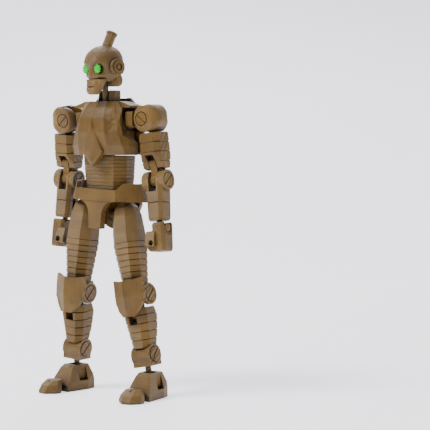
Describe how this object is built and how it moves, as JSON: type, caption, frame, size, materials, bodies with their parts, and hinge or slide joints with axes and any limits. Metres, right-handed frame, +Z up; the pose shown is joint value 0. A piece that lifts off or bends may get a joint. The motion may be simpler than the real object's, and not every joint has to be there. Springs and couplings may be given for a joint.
{
  "type": "jointed humanoid robot figure",
  "caption": "Small free-standing printed robot figure with jointed head, waist, arms, legs, ankles and toes, round bright eyes and a short pipe on the crown.",
  "frame": {"origin": "middle of the bounding box at the height of the soles", "axes": "+Z up, -Y is the way the figure faces, +X is the figure's own left"},
  "size_m": [0.0558, 0.0258, 0.1321],
  "materials": {
    "printed_plastic": "brown printed plastic with fine layer lines and a faint sheen",
    "eye_lens": "bright green glossy plastic"
  },
  "bodies": {
    "pelvis": {"hip_block": "printed_plastic", "pelvis_belt": "printed_plastic", "seat_plate": "printed_plastic"},
    "hip_left": {"hip_knuckle_left": "printed_plastic"},
    "thigh_body_left": {"thigh_left": "printed_plastic"},
    "knee_left": {"knee_link_left": "printed_plastic", "knee_pin_left": "printed_plastic", "knee_pad_left": "printed_plastic"},
    "shank_body_left": {"shank_left": "printed_plastic"},
    "ankle_left": {"ankle_drum_left": "printed_plastic", "ankle_pin_left": "printed_plastic"},
    "ankle_peg_body_left": {"ankle_peg_left": "printed_plastic"},
    "heel_left": {"heel_block_left": "printed_plastic"},
    "toe_left": {"toe_cap_left": "printed_plastic"},
    "hip_right": {"hip_knuckle_right": "printed_plastic"},
    "thigh_body_right": {"thigh_right": "printed_plastic"},
    "knee_right": {"knee_link_right": "printed_plastic", "knee_pin_right": "printed_plastic", "knee_pad_right": "printed_plastic"},
    "shank_body_right": {"shank_right": "printed_plastic"},
    "ankle_right": {"ankle_drum_right": "printed_plastic", "ankle_pin_right": "printed_plastic"},
    "ankle_peg_body_right": {"ankle_peg_right": "printed_plastic"},
    "heel_right": {"heel_block_right": "printed_plastic"},
    "toe_right": {"toe_cap_right": "printed_plastic"},
    "waist_post": {"waist_post": "printed_plastic"},
    "waist": {"waist_shell": "printed_plastic"},
    "chest": {"chest_frame": "printed_plastic", "breastplate": "printed_plastic", "back_plate": "printed_plastic", "neck_collar": "printed_plastic"},
    "shoulder_left": {"shoulder_block_left": "printed_plastic"},
    "shoulder_cap_left": {"shoulder_drum_left": "printed_plastic", "shoulder_pin_left": "printed_plastic"},
    "upper_arm_body_left": {"upper_arm_left": "printed_plastic"},
    "elbow_left_body": {"elbow_link_left": "printed_plastic"},
    "forearm_body_left": {"forearm_left": "printed_plastic", "elbow_pin_left": "printed_plastic"},
    "wrist_left": {"wrist_peg_left": "printed_plastic"},
    "fist_left": {"hand_left": "printed_plastic"},
    "shoulder_right": {"shoulder_block_right": "printed_plastic"},
    "shoulder_cap_right": {"shoulder_drum_right": "printed_plastic", "shoulder_pin_right": "printed_plastic"},
    "upper_arm_body_right": {"upper_arm_right": "printed_plastic"},
    "elbow_right_body": {"elbow_link_right": "printed_plastic"},
    "forearm_body_right": {"forearm_right": "printed_plastic", "elbow_pin_right": "printed_plastic"},
    "wrist_right": {"wrist_peg_right": "printed_plastic"},
    "fist_right": {"hand_right": "printed_plastic"},
    "neck": {"neck_post": "printed_plastic"},
    "head": {"skull": "printed_plastic", "jaw": "printed_plastic", "occiput": "printed_plastic", "head_pipe": "printed_plastic", "ear_disc_left": "printed_plastic", "eye_lens_left": "eye_lens", "ear_disc_right": "printed_plastic", "eye_lens_right": "eye_lens"}
  },
  "joints": [
    {"name": "waist_lean", "type": "hinge", "parent": "pelvis", "child": "waist_post", "pos_m": [-0.00163, 0.00651, 0.07691], "axis": [0, 1, 0], "range_deg": [-2, 5]},
    {"name": "waist_bend", "type": "hinge", "parent": "waist_post", "child": "waist", "pos_m": [-0.00163, 0.00651, 0.08151], "axis": [-1, 0, 0], "range_deg": [-4, 4]},
    {"name": "chest_turn", "type": "hinge", "parent": "waist", "child": "chest", "pos_m": [-0.00163, 0.00651, 0.08701], "axis": [0, 0, 1], "range_deg": [-20, 20]},
    {"name": "neck_nod", "type": "hinge", "parent": "chest", "child": "neck", "pos_m": [-0.00133, 0.00431, 0.10501], "axis": [1, 0, 0], "range_deg": [-8, 8]},
    {"name": "head_turn", "type": "hinge", "parent": "neck", "child": "head", "pos_m": [-0.00133, 0.00404, 0.11271], "axis": [0, -0.0349, 0.9994], "range_deg": [-45, 45]},
    {"name": "shoulder_swing_left", "type": "hinge", "parent": "chest", "child": "shoulder_left", "pos_m": [0.00797, 0.00651, 0.10001], "axis": [-1, 0, 0], "range_deg": [-45, 120]},
    {"name": "shoulder_raise_left", "type": "hinge", "parent": "shoulder_left", "child": "shoulder_cap_left", "pos_m": [0.01652, 0.00651, 0.10001], "axis": [0, -1, 0], "range_deg": [-1, 75]},
    {"name": "arm_turn_left", "type": "hinge", "parent": "shoulder_cap_left", "child": "upper_arm_body_left", "pos_m": [0.01851, 0.00651, 0.09523], "axis": [-0.1305, 0, 0.9914], "range_deg": [-45, 45]},
    {"name": "elbow_upper_left", "type": "hinge", "parent": "upper_arm_body_left", "child": "elbow_left_body", "pos_m": [0.01996, 0.00651, 0.08422], "axis": [-0.9914, 0, -0.1305], "range_deg": [-3, 36]},
    {"name": "elbow_lower_left", "type": "hinge", "parent": "elbow_left_body", "child": "forearm_body_left", "pos_m": [0.0208, 0.00617, 0.07789], "axis": [-0.9914, 0, -0.1305], "range_deg": [-5, 65]},
    {"name": "wrist_turn_left", "type": "hinge", "parent": "forearm_body_left", "child": "wrist_left", "pos_m": [0.02267, 0.00467, 0.06369], "axis": [-0.1298, 0.1045, 0.986], "range_deg": [-60, 60]},
    {"name": "wrist_bend_left", "type": "hinge", "parent": "wrist_left", "child": "fist_left", "pos_m": [0.023, 0.00439, 0.06113], "axis": [-0.9914, 0, -0.1305], "range_deg": [-12, 12]},
    {"name": "hip_swing_left", "type": "hinge", "parent": "pelvis", "child": "hip_left", "pos_m": [0.0075, 0.00521, 0.06503], "axis": [-0.9992, 0, 0.0402], "range_deg": [-12, 55]},
    {"name": "hip_spread_left", "type": "hinge", "parent": "hip_left", "child": "thigh_body_left", "pos_m": [0.0075, 0.00521, 0.06503], "axis": [0.0025, -0.9981, 0.061], "range_deg": [-6, 14]},
    {"name": "knee_upper_left", "type": "hinge", "parent": "thigh_body_left", "child": "knee_left", "pos_m": [0.01307, 0.00347, 0.03642], "axis": [0.9816, 0.014, 0.1903], "range_deg": [-2, 56]},
    {"name": "knee_lower_left", "type": "hinge", "parent": "knee_left", "child": "shank_body_left", "pos_m": [0.01433, 0.00331, 0.02995], "axis": [0.9816, 0.014, 0.1903], "range_deg": [-2, 21]},
    {"name": "ankle_swing_left", "type": "hinge", "parent": "shank_body_left", "child": "ankle_left", "pos_m": [0.01718, 0.00373, 0.01522], "axis": [-0.9816, -0.014, -0.1903], "range_deg": [-20, 20]},
    {"name": "ankle_turn_left", "type": "hinge", "parent": "ankle_left", "child": "ankle_peg_body_left", "pos_m": [0.019, 0.00389, 0.0058], "axis": [-0.19, -0.0166, 0.9816], "range_deg": [-30, 30]},
    {"name": "ankle_roll_left", "type": "hinge", "parent": "ankle_peg_body_left", "child": "heel_left", "pos_m": [0.019, 0.00389, 0.0058], "axis": [0.0872, -0.9962, 0], "range_deg": [-8, 10]},
    {"name": "toe_bend_left", "type": "hinge", "parent": "heel_left", "child": "toe_left", "pos_m": [0.01979, -0.00508, 0.0019], "axis": [-0.9962, -0.0872, 0], "range_deg": [0, 25]},
    {"name": "shoulder_swing_right", "type": "hinge", "parent": "chest", "child": "shoulder_right", "pos_m": [-0.01123, 0.00651, 0.10001], "axis": [-1, 0, 0], "range_deg": [-45, 120]},
    {"name": "shoulder_raise_right", "type": "hinge", "parent": "shoulder_right", "child": "shoulder_cap_right", "pos_m": [-0.01978, 0.00651, 0.10001], "axis": [0, 0.9925, 0.1219], "range_deg": [0, 75]},
    {"name": "arm_turn_right", "type": "hinge", "parent": "shoulder_cap_right", "child": "upper_arm_body_right", "pos_m": [-0.02143, 0.0071, 0.09514], "axis": [-0.061, 0.1216, -0.9907], "range_deg": [-8, 45]},
    {"name": "elbow_upper_right", "type": "hinge", "parent": "upper_arm_body_right", "child": "elbow_right_body", "pos_m": [-0.02211, 0.00846, 0.08414], "axis": [-0.9981, -0.0074, 0.0606], "range_deg": [-3, 36]},
    {"name": "elbow_lower_right", "type": "hinge", "parent": "elbow_right_body", "child": "forearm_body_right", "pos_m": [-0.0225, 0.00868, 0.07776], "axis": [-0.9981, -0.0074, 0.0606], "range_deg": [-5, 65]},
    {"name": "wrist_turn_right", "type": "hinge", "parent": "forearm_body_right", "child": "wrist_right", "pos_m": [-0.02336, 0.00742, 0.06344], "axis": [-0.0597, -0.0874, -0.9944], "range_deg": [-60, 60]},
    {"name": "wrist_bend_right", "type": "hinge", "parent": "wrist_right", "child": "fist_right", "pos_m": [-0.02351, 0.00719, 0.06085], "axis": [-0.9981, -0.0074, 0.0606], "range_deg": [-12, 12]},
    {"name": "hip_swing_right", "type": "hinge", "parent": "pelvis", "child": "hip_right", "pos_m": [-0.01168, 0.00521, 0.06581], "axis": [-0.9992, 0, 0.0402], "range_deg": [-12, 55]},
    {"name": "hip_spread_right", "type": "hinge", "parent": "hip_right", "child": "thigh_body_right", "pos_m": [-0.01168, 0.00521, 0.06581], "axis": [-0.0035, 0.9962, -0.0871], "range_deg": [-1, 8]},
    {"name": "knee_upper_right", "type": "hinge", "parent": "thigh_body_right", "child": "knee_right", "pos_m": [-0.01387, 0.00266, 0.0368], "axis": [0.9972, -0.003, -0.075], "range_deg": [-2, 56]},
    {"name": "knee_lower_right", "type": "hinge", "parent": "knee_right", "child": "shank_body_right", "pos_m": [-0.01437, 0.00278, 0.03022], "axis": [0.9972, -0.003, -0.075], "range_deg": [-2, 21]},
    {"name": "ankle_swing_right", "type": "hinge", "parent": "shank_body_right", "child": "ankle_right", "pos_m": [-0.01548, 0.00461, 0.01537], "axis": [-0.9972, 0.003, 0.075], "range_deg": [-20, 20]},
    {"name": "ankle_turn_right", "type": "hinge", "parent": "ankle_right", "child": "ankle_peg_body_right", "pos_m": [-0.01619, 0.00472, 0.0058], "axis": [-0.0749, 0.0119, -0.9971], "range_deg": [-30, 30]},
    {"name": "ankle_roll_right", "type": "hinge", "parent": "ankle_peg_body_right", "child": "heel_right", "pos_m": [-0.01619, 0.00472, 0.0058], "axis": [0.1564, 0.9877, 0], "range_deg": [-8, 10]},
    {"name": "toe_bend_right", "type": "hinge", "parent": "heel_right", "child": "toe_right", "pos_m": [-0.0176, -0.00417, 0.0019], "axis": [-0.9877, 0.1564, 0], "range_deg": [0, 25]}
  ]
}
